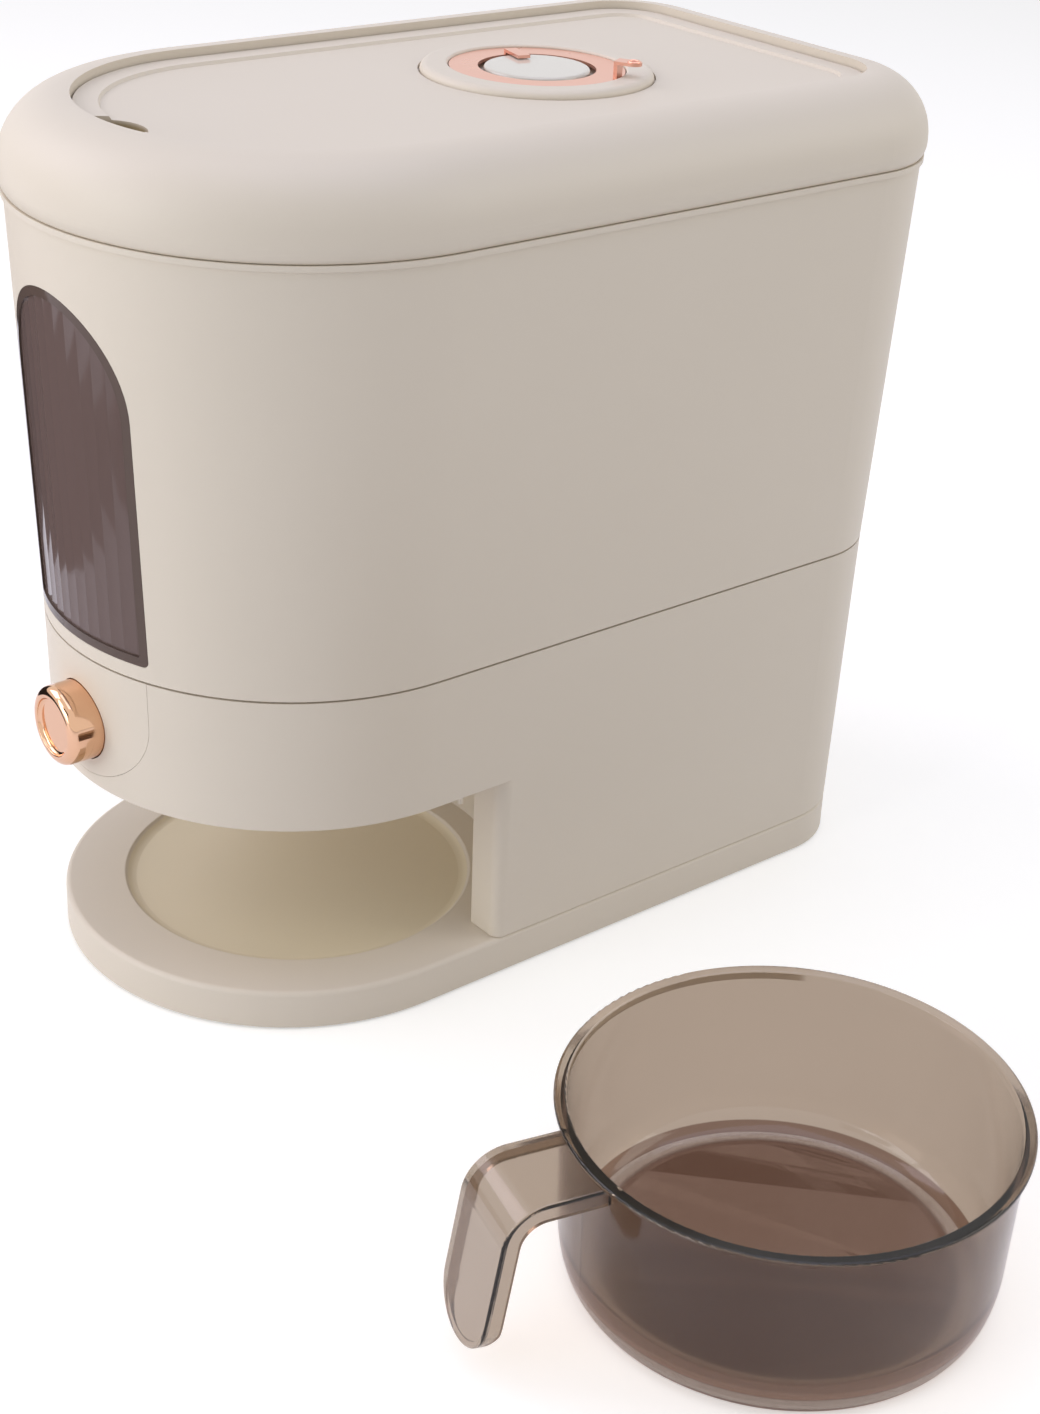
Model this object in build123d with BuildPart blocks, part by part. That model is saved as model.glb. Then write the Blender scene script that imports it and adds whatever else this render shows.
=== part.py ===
from build123d import *
import os
from math import atan2, cos, degrees, radians, sin, sqrt

os.makedirs("parts", exist_ok=True)

# Rice dispenser with a push button and a lift-out measuring cup. Sizes are in millimetres.
# +Z is up, the round front faces -Y, and the origin is on the floor under the middle of the base.

# ---- driving sizes of the body ----
# Every outline of the body is an offset of one plan: a round front about (0, -setback), straight
# sides, and a flat back whose corners turn about (+-corner_x, setback + corner_x).
setback = 72.0
corner_x = 52.0
base_half = 89.4  # half the width at the base
housing_flare = 2.6  # how much wider each side is where the bin sits on the housing
bin_flare = 6.3  # how much wider each side of the bin is at its top
collar_proud = 0.9  # thin band round the bin's top edge
rim_proud = 0.7  # how far the top frame stands out from that band

base_height = 16.1
bay_height = 69.7  # room above the base for the cup
overhang_height = 52.2  # from the bay's ceiling to the seam
bin_height = 157.0
rim_height = 30.0

wall = 2.6  # moulded wall of the shells
thin_wall = 2.0  # ribs, lips and skirts
slack = 0.3  # gap between pieces that slip into each other
seam_gap = 0.8  # dark line between the bin and the housing

# ---- base ----
foot_drop = 1.0  # the feet stand this far below the base
foot_radius = 9.0
foot_sunk = 1.0
cover_thickness = 2.0
base_edge = 2.0
recess_radius = 68.6
recess_depth = 2.5
recess_slope = 2.0  # the recess wall leans this far outwards
recess_round = 5.0  # soft foot of that wall
recess_edge = 0.8
boss_radius = 4.5
pilot_radius = 1.3
screw_radius = 1.25
screw_clear = 1.7
head_radius = 3.0
head_height = 1.6
base_screw_length = 22.0

# ---- cup bay ----
cup_y = -69.5  # middle of the recess, niche and outlet
niche_radius = 80.0
jamb_y = -39.1  # flat front of the column
jamb_corner = 4.0
column_edge = 0.6  # soft lower edge of the column
nub_radius = 1.0  # small stops under the overhang
nub_drop = 3.3
overhang_round = 1.0  # soft lower edge of the overhang

# ---- dispensing mechanism ----
button_drop = 27.7  # from the seam down to the button's axis
button_radius = 14.9
button_proud = 11.9
button_edge = 3.3
dish_radius = 10.8
dish_depth = 1.6
dish_round = 1.5
dish_edge = 0.4
press_travel = 10.0
button_gap = 0.35
guide_wall = 2.0
cap_length = 29.0
cap_bore = 12.2
rod_radius = 4.0
spring_radius = 6.6
spring_wire = 0.6
spring_turns = 8

panel_half = 36.1  # half the width of the U-shaped button panel
panel_drop = 30.0  # depth of its rounded lower end
panel_rise = 9.7  # from the button's axis up to where that end starts
panel_line = 0.15
panel_lip = 3.0

slot_length = 54.0
slot_spare = 1.0  # closed overlap on each side of a slot
throat_spare = 2.0
plate_thickness = 3.0
floor_thickness = 3.4
gate_drop = 5.5  # from the button's axis down to the gate frame's underside
rail_width = 5.0
chute_radius = 22.0
nozzle_drop = 2.0
chute_flange = 30.0

# ---- window ----
window_half = 37.5
window_low = 6.0  # above the seam
window_drop = 23.5  # from the bin's top down to the crown of the arch
window_border = 3.4
window_sunk = 0.8
window_lip = 3.0
window_gap = 0.15
flute_count = 11
flute_depth = 0.9

# ---- top frame and flap ----
rim_round = 23.8
rim_tuck = 8.0  # radius that draws the frame's lower edge in
rim_tuck_height = 3.3  # part of that radius that lies below the frame's edge
flap_half = 73.6
flap_gap = 0.8
flap_sunk = 3.1  # flap's border below the frame's top
field_inset = 8.5  # width of the flap's border
field_sunk = 1.2
flap_plate = 2.4
skirt_depth = 12.9
ledge_width = 9.6
ledge_thickness = 2.5
notch_radius = 15.0
notch_wall = 2.0
notch_corner = 3.0
liner_thickness = 2.0
seal_width = 2.6
seal_height = 1.2
hinge_radius = 3.0
pin_radius = 1.5
pin_fit = 0.05
pin_length = 16.0

# ---- date dial ----
dial_y = 36.0
bezel_outer = 43.3
bezel_inner = 33.0
bezel_height = 3.9
bezel_lip = 3.4  # inner lip that runs under the ring
bezel_lip_height = 1.3
dial_sunk = 1.4
dial_gap = 0.7
ring_outer = 32.6
ring_inner = 21.9
ring_thickness = 1.2
disc_radius = 19.8
disc_height = 3.4
pointer_angle = 29.0
pointer_rise = 6.5  # from the ring's top to the top of the pointer that shows the month
pointer_end = 37.6  # reach of its rounded end's middle
pointer_width = 6.0
pointer_plate = 1.2
eyelet_radius = 1.5
eyelet_wire = 0.5
marker_angle = 167.0
marker_rise = 1.9  # the same for the pointer that shows the day
marker_end = 11.0
marker_width = 5.0
dial_screw_radius = 2.0

# ---- measuring cup ----
cup_place = (272.0, -65.0)  # where it stands beside the dispenser
handle_angle = -104.3  # direction its handle points in, counted from +X
cup_radius = 75.9  # outside of the rim
cup_height = 64.9
cup_wall = 1.9
rim_width = 2.2
rim_depth = 1.5  # height of the rim's edge; its underside slopes back to the wall
cup_foot = 66.0  # radius of the flat bottom
cup_low_radius = 72.4
cup_corner = 19.6
cup_inside_corner = 14.0
cup_floor = 3.0
handle_width = 31.6
handle_plate = 2.2
handle_flange = 6.0
handle_drop = 1.3  # below the cup's rim
handle_reach = 105.2  # from the cup's axis to the bend
handle_lean = 8.7
handle_bend = 15.0
handle_foot = 7.0  # gap under the handle's tip
handle_edge = 0.9

# ---- levels that follow from the sizes above ----
base_top = base_height
bay_top = base_top + bay_height
seam_z = bay_top + overhang_height
rim_z = seam_z + bin_height
seam_half = base_half + housing_flare
button_z = seam_z - button_drop
panel_spring = button_z + panel_rise
window_spring = bin_height - window_drop - window_half
top_z = rim_z + rim_height
housing_top = seam_z - seam_gap / 2
bin_bottom = seam_z + seam_gap / 2
collar_height = 2.0
collar_top = rim_z - slack
collar_bottom = collar_top - collar_height
bin_top_half = seam_half + bin_flare
collar_half = bin_top_half + collar_proud
rim_half = collar_half + rim_proud
housing_taper = degrees(atan2(seam_half - base_half, seam_z - base_top))
bin_taper = degrees(atan2(bin_flare, bin_height))
front_y = -setback
corner_y = setback + corner_x


def housing_half(z):
    """Half the housing's width at height z."""
    return base_half + (seam_half - base_half) * (z - base_top) / (seam_z - base_top)


def bin_half(z):
    """Half the bin's width at height z."""
    return seam_half + bin_flare * (z - seam_z) / bin_height


def plan(half, mode=Mode.ADD):
    """Adds the body's plan, offset to the given half width, to the sketch being drawn."""
    turn = half - corner_x
    diagonal = turn * sqrt(0.5)
    with BuildLine() as outline:
        ThreePointArc((-half, front_y), (0, front_y - half), (half, front_y))
        Line((half, front_y), (half, corner_y))
        ThreePointArc(
            (half, corner_y), (corner_x + diagonal, corner_y + diagonal), (corner_x, corner_y + turn)
        )
        Line((corner_x, corner_y + turn), (-corner_x, corner_y + turn))
        ThreePointArc(
            (-corner_x, corner_y + turn), (-corner_x - diagonal, corner_y + diagonal), (-half, corner_y)
        )
        Line((-half, corner_y), (-half, front_y))
    make_face(outline.edges(), mode=mode)


def block(half, low, high, taper=0.0):
    """Returns a solid that follows the plan from height low to high, leaning out by taper degrees."""
    with BuildPart() as solid:
        with BuildSketch(Plane.XY.offset(low)):
            plan(half)
        extrude(amount=high - low, taper=-taper)
    return solid.part


def band(half, low, high, depth, taper=0.0):
    """Returns a wall that follows the plan, with its outside at half and its inside depth further in."""
    with BuildPart() as wall_band:
        add(block(half, low, high, taper))
        add(block(half - depth, low, high, taper), mode=Mode.SUBTRACT)
    return wall_band.part


def front_prism(face):
    """Returns the given XZ face drawn out through the round front wall."""
    with BuildPart() as prism:
        add(extrude(face, amount=1.5 * seam_half, dir=(0, -1, 0), mode=Mode.PRIVATE))
    return prism.part


def u_face(grow, top):
    """Returns the button panel's U outline, grown by the given amount, as a face at the arc's centre."""
    half = panel_half + grow
    with BuildSketch(Plane.XZ.offset(setback)) as u_shape:
        with Locations((0, panel_spring)):
            Ellipse(half, panel_drop + grow)
        with Locations((0, (panel_spring + top) / 2)):
            Rectangle(2 * half, top - panel_spring)
        with Locations((0, top + panel_drop)):
            Rectangle(4 * half, 2 * panel_drop, mode=Mode.SUBTRACT)
    return u_shape.sketch


def arch_face(grow):
    """Returns the window's arch, grown by the given amount, as a face at the arc's centre."""
    half = window_half + grow
    low = seam_z + window_low - grow
    high = seam_z + window_spring
    with BuildSketch(Plane.XZ.offset(setback)) as arch:
        with Locations((0, high)):
            Circle(half)
        with Locations((0, (low + high) / 2)):
            Rectangle(2 * half, high - low)
        fillet(arch.vertices().group_by(Axis.Y)[0], 2.5 + grow / 2)
    return arch.sketch


def curved_panel(face, wall_band):
    """Returns the part of a wall that lies behind a face on the round front."""
    with BuildPart() as panel:
        add(front_prism(face))
        add(wall_band, mode=Mode.INTERSECT)
    return panel.part


def button_plane(y):
    """Plane across the button's axis, facing the front."""
    return Plane(origin=(0, y, button_z), x_dir=(1, 0, 0), z_dir=(0, -1, 0))


# Places that several pieces share.
base_screw_x = base_half - wall - boss_radius + 1.0
base_screw_points = [(side * base_screw_x, y) for side in (-1, 1) for y in (-15.0, 55.0, corner_y + 4.0)]
cover_post_x = base_half - 10.5
cover_post_points = [(side * cover_post_x, y) for side in (-1, 1) for y in (-68.0, 30.0, 105.0)]
foot_points = [(0, 0), (-55, -100), (55, -100), (-50, corner_y + 4), (50, corner_y + 4)]
cover_low = foot_drop
cover_high = cover_low + cover_thickness
skin_under = base_top - wall
recess_under = base_top - recess_depth - wall

# ---- base plate ----
with BuildPart() as base_plate:
    with BuildSketch(Plane.XY.offset(foot_drop)):
        plan(base_half)
    extrude(amount=base_top - foot_drop)
    fillet(base_plate.faces().sort_by(Axis.Z)[-1].edges(), base_edge)
    with Locations((0, cup_y, base_top - recess_depth)):
        Cone(
            recess_radius - recess_slope,
            recess_radius,
            recess_depth,
            align=(Align.CENTER, Align.CENTER, Align.MIN),
            mode=Mode.SUBTRACT,
        )
    for radius, size in ((recess_radius - recess_slope, recess_round), (recess_radius, recess_edge)):
        recess_edges = base_plate.edges().filter_by(GeomType.CIRCLE)
        fillet(recess_edges.filter_by(lambda edge: abs(edge.radius - radius) < 0.01), size)
    with BuildSketch(Plane.XY.offset(foot_drop)):
        plan(base_half - wall)
    extrude(amount=recess_under - foot_drop, mode=Mode.SUBTRACT)
    with BuildSketch(Plane.XY.offset(recess_under)):
        plan(base_half - wall)
        with Locations((0, cup_y)):
            Circle(recess_radius + wall, mode=Mode.SUBTRACT)
    extrude(amount=skin_under - recess_under, mode=Mode.SUBTRACT)
    with BuildSketch(Plane.XY.offset(cover_high)):
        with Locations(*cover_post_points):
            Circle(boss_radius)
    extrude(amount=skin_under + wall / 2 - cover_high)
    with BuildSketch(Plane.XY.offset(cover_high)):
        with Locations(*cover_post_points):
            Circle(pilot_radius)
    extrude(amount=7.0, mode=Mode.SUBTRACT)
    with BuildSketch(Plane.XY.offset(skin_under)):
        with Locations(*base_screw_points):
            Circle(screw_clear)
    extrude(amount=wall, mode=Mode.SUBTRACT)
base_plate.part.label = "base_plate"
export_step(base_plate.part, "parts/base_plate.step")

# ---- bottom cover, its feet and screws ----
with BuildPart() as bottom_cover:
    with BuildSketch(Plane.XY.offset(cover_low)):
        plan(base_half - wall - slack)
        with Locations(*cover_post_points):
            Circle(screw_clear, mode=Mode.SUBTRACT)
    extrude(amount=cover_thickness)
    with BuildSketch(Plane.XY.offset(cover_low)):
        with Locations(*foot_points):
            Circle(foot_radius + slack)
        with Locations(*cover_post_points):
            Circle(head_radius + slack)
    extrude(amount=foot_sunk, mode=Mode.SUBTRACT)
bottom_cover.part.label = "bottom_cover"
export_step(bottom_cover.part, "parts/bottom_cover.step")

with BuildPart() as foot_pads:
    with BuildSketch(Plane.XY):
        with Locations(*foot_points):
            Circle(foot_radius)
    extrude(amount=foot_drop + foot_sunk)
    fillet(foot_pads.faces().group_by(Axis.Z)[0].edges(), 0.5)
foot_pads.part.label = "foot_pads"
export_step(foot_pads.part, "parts/foot_pads.step")

with BuildPart() as cover_screws:
    with BuildSketch(Plane.XY.offset(cover_low + 0.2)):
        with Locations(*cover_post_points):
            Circle(head_radius)
    extrude(amount=foot_sunk - 0.2)
    with BuildSketch(Plane.XY.offset(cover_low + foot_sunk)):
        with Locations(*cover_post_points):
            Circle(screw_radius)
    extrude(amount=7.0)
cover_screws.part.label = "cover_screws"
export_step(cover_screws.part, "parts/cover_screws.step")

with BuildPart() as base_screws:
    with BuildSketch(Plane.XY.offset(skin_under - head_height)):
        with Locations(*base_screw_points):
            Circle(head_radius)
    extrude(amount=head_height)
    with BuildSketch(Plane.XY.offset(skin_under)):
        with Locations(*base_screw_points):
            Circle(screw_radius)
    extrude(amount=base_screw_length)
base_screws.part.label = "base_screws"
export_step(base_screws.part, "parts/base_screws.step")

# ---- levels of the dispensing mechanism ----
ceiling_top = bay_top + wall
gate_floor = button_z - gate_drop
gate_floor_top = gate_floor + floor_thickness
plate_low = gate_floor_top + slack
plate_high = plate_low + plate_thickness
roof_low = plate_high + slack
roof_high = roof_low + 2.5
slot_width = press_travel - slot_spare
slot_pitch = 2 * (slot_width + 2 * slot_spare)
throat_x = slot_length / 2 + slot_spare
throat_y = slot_pitch / 2 + slot_width / 2 + throat_spare
gate_half = slot_length / 2 + 5.7
rail_in = gate_half + slack
rail_out = rail_in + rail_width
block_back = cup_y - throat_y - thin_wall - press_travel - 0.5
block_front = block_back - 6.5
frame_front_in = block_front - 2.0
frame_front = frame_front_in - 2.5
frame_back_in = cup_y + throat_y + 2.5 + press_travel + 2.0
frame_back = frame_back_in + thin_wall
ear_x = rail_out + boss_radius
gate_screw_points = [(side * ear_x, cup_y + y) for side in (-1, 1) for y in (-16.0, 16.0)]
cap_front = front_y - seam_half + 0.7 - button_proud
cap_back = cap_front + cap_length
guide_front = front_y - seam_half + 4.0
rod_disc = 3.0
rod_start = cap_back - 4.0  # back face of the plunger's disc, inside the cap
rod_end = block_back - 1.0

guide_radius = button_radius + button_gap + guide_wall
tongue_low = button_z + guide_radius + 2 * slack
tongue_high = bin_bottom + 2.0
tongue_half = housing_half(tongue_low) - wall - slack

# ---- lower housing: column, niche and overhang ----
with BuildPart() as lower_housing:
    with BuildSketch(Plane.XY.offset(base_top)) as column_plan:
        plan(base_half)
        with Locations((0, jamb_y - 2 * base_half)):
            Rectangle(4 * base_half, 4 * base_half, mode=Mode.SUBTRACT)
        fillet(column_plan.vertices().group_by(Axis.Y)[0], jamb_corner)
    extrude(amount=bay_height + 2 * overhang_round, taper=-housing_taper)
    fillet(lower_housing.faces().sort_by(Axis.Z)[0].edges(), column_edge)
    with Locations((0, cup_y, base_top)):
        Cylinder(
            niche_radius, bay_height, align=(Align.CENTER, Align.CENTER, Align.MIN), mode=Mode.SUBTRACT
        )
    with BuildPart(mode=Mode.PRIVATE) as overhang:
        add(block(housing_half(bay_top), bay_top, housing_top, housing_taper))
        fillet(overhang.faces().sort_by(Axis.Z)[0].edges(), overhang_round)
    add(overhang.part)
    column_room = block(base_half - wall, base_top, ceiling_top, housing_taper)
    with BuildPart(mode=Mode.PRIVATE) as bay_walls:
        with BuildSketch(Plane.XY.offset(base_top)):
            with Locations((0, jamb_y + wall - 2 * base_half)):
                Rectangle(4 * base_half, 4 * base_half)
            with Locations((0, cup_y)):
                Circle(niche_radius + wall)
        extrude(amount=ceiling_top - base_top)
    add(column_room - bay_walls.part, mode=Mode.SUBTRACT)
    add(
        block(housing_half(ceiling_top) - wall, ceiling_top, housing_top, housing_taper),
        mode=Mode.SUBTRACT,
    )
    with BuildSketch(Plane.XY.offset(base_top)):
        with Locations(*base_screw_points):
            Circle(boss_radius)
    extrude(amount=base_screw_length + 3.0)
    with BuildSketch(Plane.XY.offset(base_top)):
        with Locations(*base_screw_points):
            Circle(pilot_radius)
    extrude(amount=base_screw_length, mode=Mode.SUBTRACT)
    with BuildSketch(Plane.XY.offset(ceiling_top)):
        with Locations(*gate_screw_points):
            Circle(boss_radius)
    extrude(amount=gate_floor - ceiling_top)
    with BuildSketch(Plane.XY.offset(gate_floor)):
        with Locations(*gate_screw_points):
            Circle(pilot_radius)
    extrude(amount=-12.0, mode=Mode.SUBTRACT)
    with Locations((0, cup_y, bay_top)):
        Cylinder(
            chute_radius + thin_wall + slack,
            wall,
            align=(Align.CENTER, Align.CENTER, Align.MIN),
            mode=Mode.SUBTRACT,
        )
    with BuildSketch(Plane.XY.offset(bay_top)):
        with Locations((-88.0, -57.6), (88.0, -57.6)):
            Circle(nub_radius)
    extrude(amount=-nub_drop)
    add(front_prism(u_face(0, housing_top + 1)), mode=Mode.SUBTRACT)
lower_housing.part.label = "lower_housing"
export_step(lower_housing.part, "parts/lower_housing.step")

# ---- button panel: U-shaped insert in the housing's front, with the button's guide ----
panel_low = ceiling_top + slack
lip_high = tongue_low - slack
with BuildPart() as button_panel:
    panel_band = band(housing_half(bay_top), bay_top, housing_top, wall, housing_taper)
    add(curved_panel(u_face(-panel_line, housing_top), panel_band))
    lip_half = housing_half(panel_low) - wall - 0.2
    lip_band = band(lip_half, panel_low, lip_high, thin_wall, housing_taper)
    add(curved_panel(u_face(panel_lip, lip_high), lip_band))
    joint_band = band(lip_half + 1.0, panel_low, lip_high, 2.0, housing_taper)
    add(curved_panel(u_face(-panel_line, lip_high), joint_band))
    with BuildSketch(button_plane(cap_back - 2.0)):
        Circle(guide_radius)
    extrude(amount=cap_back - 2.0 - guide_front)
    with BuildSketch(button_plane(cap_back)):
        Circle(button_radius + button_gap)
    extrude(amount=2 * cap_length, mode=Mode.SUBTRACT)
button_panel.part.label = "button_panel"
export_step(button_panel.part, "parts/button_panel.step")

# ---- button cap ----
with BuildPart() as button_cap:
    with BuildSketch(button_plane(cap_back)):
        Circle(button_radius)
    extrude(amount=cap_length)
    fillet(button_cap.faces().sort_by(Axis.Y)[0].edges(), button_edge)
    with BuildPart(mode=Mode.PRIVATE) as dish:
        with BuildSketch(button_plane(cap_front)):
            Circle(dish_radius)
        extrude(amount=-dish_depth)
        fillet(dish.faces().sort_by(Axis.Y)[-1].edges(), dish_round)
    add(dish.part, mode=Mode.SUBTRACT)
    fillet(button_cap.faces().sort_by(Axis.Y)[0].edges().sort_by(SortBy.RADIUS)[0], dish_edge)
    with BuildSketch(button_plane(cap_back)):
        Circle(cap_bore)
    extrude(amount=cap_length - dish_depth - 3.0, mode=Mode.SUBTRACT)
    with BuildSketch(button_plane(cap_back)):
        Circle(guide_radius - slack)
        Circle(cap_bore, mode=Mode.SUBTRACT)
    extrude(amount=1.7)
button_cap.part.label = "button_cap"
export_step(button_cap.part, "parts/button_cap.step")

# ---- gate plunger: push rod from the cap to the slide ----
with BuildPart() as gate_plunger:
    with BuildSketch(button_plane(rod_start)):
        Circle(cap_bore)
    extrude(amount=rod_disc)
    with BuildSketch(button_plane(rod_start)):
        Circle(rod_radius)
    extrude(amount=-(rod_end - rod_start))
gate_plunger.part.label = "gate_plunger"
export_step(gate_plunger.part, "parts/gate_plunger.step")

# ---- return spring between the plunger's disc and the gate frame ----
spring_front = rod_start + 0.1
spring_back = frame_front - 0.1
spring_rise = (spring_back - spring_front - 2 * spring_wire) / spring_turns
print("spring: gap between turns", round(spring_rise - 2 * spring_wire, 2), "mm")
with BuildPart() as return_spring:
    with BuildLine():
        coil = Helix(
            spring_rise,
            spring_rise * spring_turns,
            spring_radius,
            center=(0, spring_back - spring_wire, button_z),
            direction=(0, -1, 0),
        )
    with BuildSketch(Plane(origin=coil @ 0, z_dir=coil % 0)):
        Circle(spring_wire)
    sweep()
return_spring.part.label = "return_spring"
export_step(return_spring.part, "parts/return_spring.step")

# ---- gate slide: slotted plate, with the block that takes the rod ----
with BuildPart() as gate_slide:
    with BuildSketch(Plane.XY.offset(plate_low)):
        slide_back = cup_y + throat_y + 2.5
        with Locations((0, (block_front + slide_back) / 2)):
            Rectangle(2 * gate_half, slide_back - block_front)
        with Locations(*[(0, cup_y + side * slot_pitch / 2 - press_travel) for side in (-1, 1)]):
            Rectangle(slot_length, slot_width, mode=Mode.SUBTRACT)
    extrude(amount=plate_thickness)
    with BuildSketch(Plane.XY.offset(button_z - rod_radius - thin_wall)):
        with Locations((0, (block_front + block_back) / 2)):
            Rectangle(2 * (rod_radius + 4.0), block_back - block_front)
    extrude(amount=plate_high - (button_z - rod_radius - thin_wall))
    with BuildSketch(button_plane(rod_end + 0.1)):
        Circle(rod_radius + 0.05)
    extrude(amount=20.0, mode=Mode.SUBTRACT)
gate_slide.part.label = "gate_slide"
export_step(gate_slide.part, "parts/gate_slide.step")

# ---- gate frame: floor with two slots, rails, roof with the throat, and a wall for the spring ----
with BuildPart() as gate_frame:
    with BuildSketch(Plane.XY.offset(gate_floor)):
        with Locations((0, (frame_front + frame_back) / 2)):
            Rectangle(2 * rail_out, frame_back - frame_front)
    extrude(amount=roof_high - gate_floor)
    with BuildSketch(Plane.XY.offset(gate_floor_top)):
        with Locations((0, (frame_front_in + frame_back_in) / 2)):
            Rectangle(2 * rail_in, frame_back_in - frame_front_in)
    extrude(amount=roof_low - gate_floor_top, mode=Mode.SUBTRACT)
    floor_start = cup_y - throat_y - 1.5
    with BuildSketch(Plane.XY.offset(gate_floor)):
        with Locations((0, (frame_front_in + floor_start) / 2)):
            Rectangle(2 * (rod_radius + 6.0), floor_start - frame_front_in)
        with Locations(*[(0, cup_y + side * slot_pitch / 2) for side in (-1, 1)]):
            Rectangle(slot_length, slot_width)
    extrude(amount=floor_thickness, mode=Mode.SUBTRACT)
    with BuildSketch(Plane.XY.offset(roof_low)):
        with Locations((0, cup_y)):
            Rectangle(2 * throat_x, 2 * throat_y)
        with Locations((0, (frame_front_in + floor_start) / 2)):
            Rectangle(2 * (rod_radius + 1.0), floor_start - frame_front_in)
    extrude(amount=roof_high - roof_low, mode=Mode.SUBTRACT)
    with BuildSketch(Plane.XZ.offset(-frame_front_in)):
        with Locations((0, (button_z - rod_radius - 4.0 + roof_high) / 2)):
            Rectangle(2 * (rod_radius + 6.0), roof_high - (button_z - rod_radius - 4.0))
    extrude(amount=frame_front_in - frame_front)
    with BuildSketch(button_plane(frame_front_in + 1)):
        Circle(rod_radius + slack)
    extrude(amount=frame_front_in - frame_front + 2, mode=Mode.SUBTRACT)
    with BuildSketch(Plane.XY.offset(gate_floor)):
        with Locations(*gate_screw_points):
            Circle(boss_radius)
        for side in (-1, 1):
            with Locations(*[(side * (rail_out + 1.5), point[1]) for point in gate_screw_points[:2]]):
                Rectangle(5.0, 2 * boss_radius)
        with Locations(*gate_screw_points):
            Circle(screw_clear, mode=Mode.SUBTRACT)
    extrude(amount=floor_thickness)
gate_frame.part.label = "gate_frame"
export_step(gate_frame.part, "parts/gate_frame.step")

with BuildPart() as gate_screws:
    with BuildSketch(Plane.XY.offset(gate_floor_top)):
        with Locations(*gate_screw_points):
            Circle(head_radius)
    extrude(amount=head_height)
    with BuildSketch(Plane.XY.offset(gate_floor_top)):
        with Locations(*gate_screw_points):
            Circle(screw_radius)
    extrude(amount=-(floor_thickness + 9.0))
gate_screws.part.label = "gate_screws"
export_step(gate_screws.part, "parts/gate_screws.step")

# ---- outlet chute: funnel under the slots, flange on the ceiling and round nozzle ----
chute_low = ceiling_top + thin_wall
chute_side = chute_radius * sqrt(0.5)
with BuildPart() as outlet_chute:
    with BuildSketch(Plane.XY.offset(gate_floor)):
        with Locations((0, cup_y)):
            Rectangle(2 * (throat_x + thin_wall), 2 * (throat_y + 1.0))
    with BuildSketch(Plane.XY.offset(chute_low)):
        with Locations((0, cup_y)):
            Rectangle(2 * (chute_side + thin_wall), 2 * (chute_side + thin_wall))
    loft(ruled=True)
    with BuildSketch(Plane.XY.offset(ceiling_top)):
        with Locations((0, cup_y)):
            Circle(chute_flange)
    extrude(amount=thin_wall)
    with BuildSketch(Plane.XY.offset(ceiling_top)):
        with Locations((0, cup_y)):
            Circle(chute_radius + thin_wall)
    extrude(amount=-(wall + nozzle_drop))
    with BuildSketch(Plane.XY.offset(gate_floor)):
        with Locations((0, cup_y)):
            Rectangle(2 * throat_x, 2 * (throat_y - 1.0))
    with BuildSketch(Plane.XY.offset(chute_low)):
        with Locations((0, cup_y)):
            Rectangle(2 * chute_side, 2 * chute_side)
    loft(ruled=True, mode=Mode.SUBTRACT)
    with BuildSketch(Plane.XY.offset(chute_low)):
        with Locations((0, cup_y)):
            Circle(chute_radius)
    extrude(amount=-(thin_wall + wall + nozzle_drop), mode=Mode.SUBTRACT)
outlet_chute.part.label = "outlet_chute"
export_step(outlet_chute.part, "parts/outlet_chute.step")

# ---- hopper: four slopes inside the bin that lead to the throat ----
hopper_low = roof_high
neck_high = hopper_low + 3.0
hopper_rise = 115.0
hopper_floor = 2.4  # upright thickness of the slopes
window_low_z = seam_z + window_low
hopper_clear = 1.9  # from the front slope's upper end to the window's lip
front_reach = setback + seam_half - wall + cup_y - throat_y
front_run = front_reach / (window_low_z - window_lip - hopper_clear - neck_high)  # run for one of rise
back_run = 2.25
side_run = 1.0


def slopes(low):
    """Returns the funnel-shaped space that opens upwards from the throat at the given height."""
    high = low + hopper_rise
    front = [cup_y - throat_y, cup_y - throat_y - front_run * hopper_rise]
    back = [cup_y + throat_y, cup_y + throat_y + back_run * hopper_rise]
    half = [throat_x, throat_x + side_run * hopper_rise]
    with BuildPart() as funnel:
        for level, z in enumerate((low, high)):
            with BuildSketch(Plane.XY.offset(z)):
                with Locations((0, (front[level] + back[level]) / 2)):
                    Rectangle(2 * half[level], back[level] - front[level])
        loft(ruled=True)
    return funnel.part


with BuildPart() as hopper:
    hopper_half = bin_half(tongue_high) - wall - slack
    add(block(hopper_half, tongue_high + slack, neck_high + hopper_rise - 5, bin_taper))
    add(block(tongue_half - thin_wall - slack, hopper_low, tongue_high + slack + 0.1))
    add(slopes(neck_high - hopper_floor), mode=Mode.INTERSECT)
    with BuildSketch(Plane.XY.offset(hopper_low)):
        with Locations((0, cup_y)):
            Rectangle(2 * (throat_x + thin_wall), 2 * (throat_y + thin_wall))
    extrude(amount=neck_high - hopper_low)
    add(slopes(neck_high), mode=Mode.SUBTRACT)
    with BuildSketch(Plane.XY.offset(hopper_low)):
        with Locations((0, cup_y)):
            Rectangle(2 * throat_x, 2 * throat_y)
    extrude(amount=neck_high - hopper_low, mode=Mode.SUBTRACT)
hopper.part.label = "hopper"
export_step(hopper.part, "parts/hopper.step")

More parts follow.
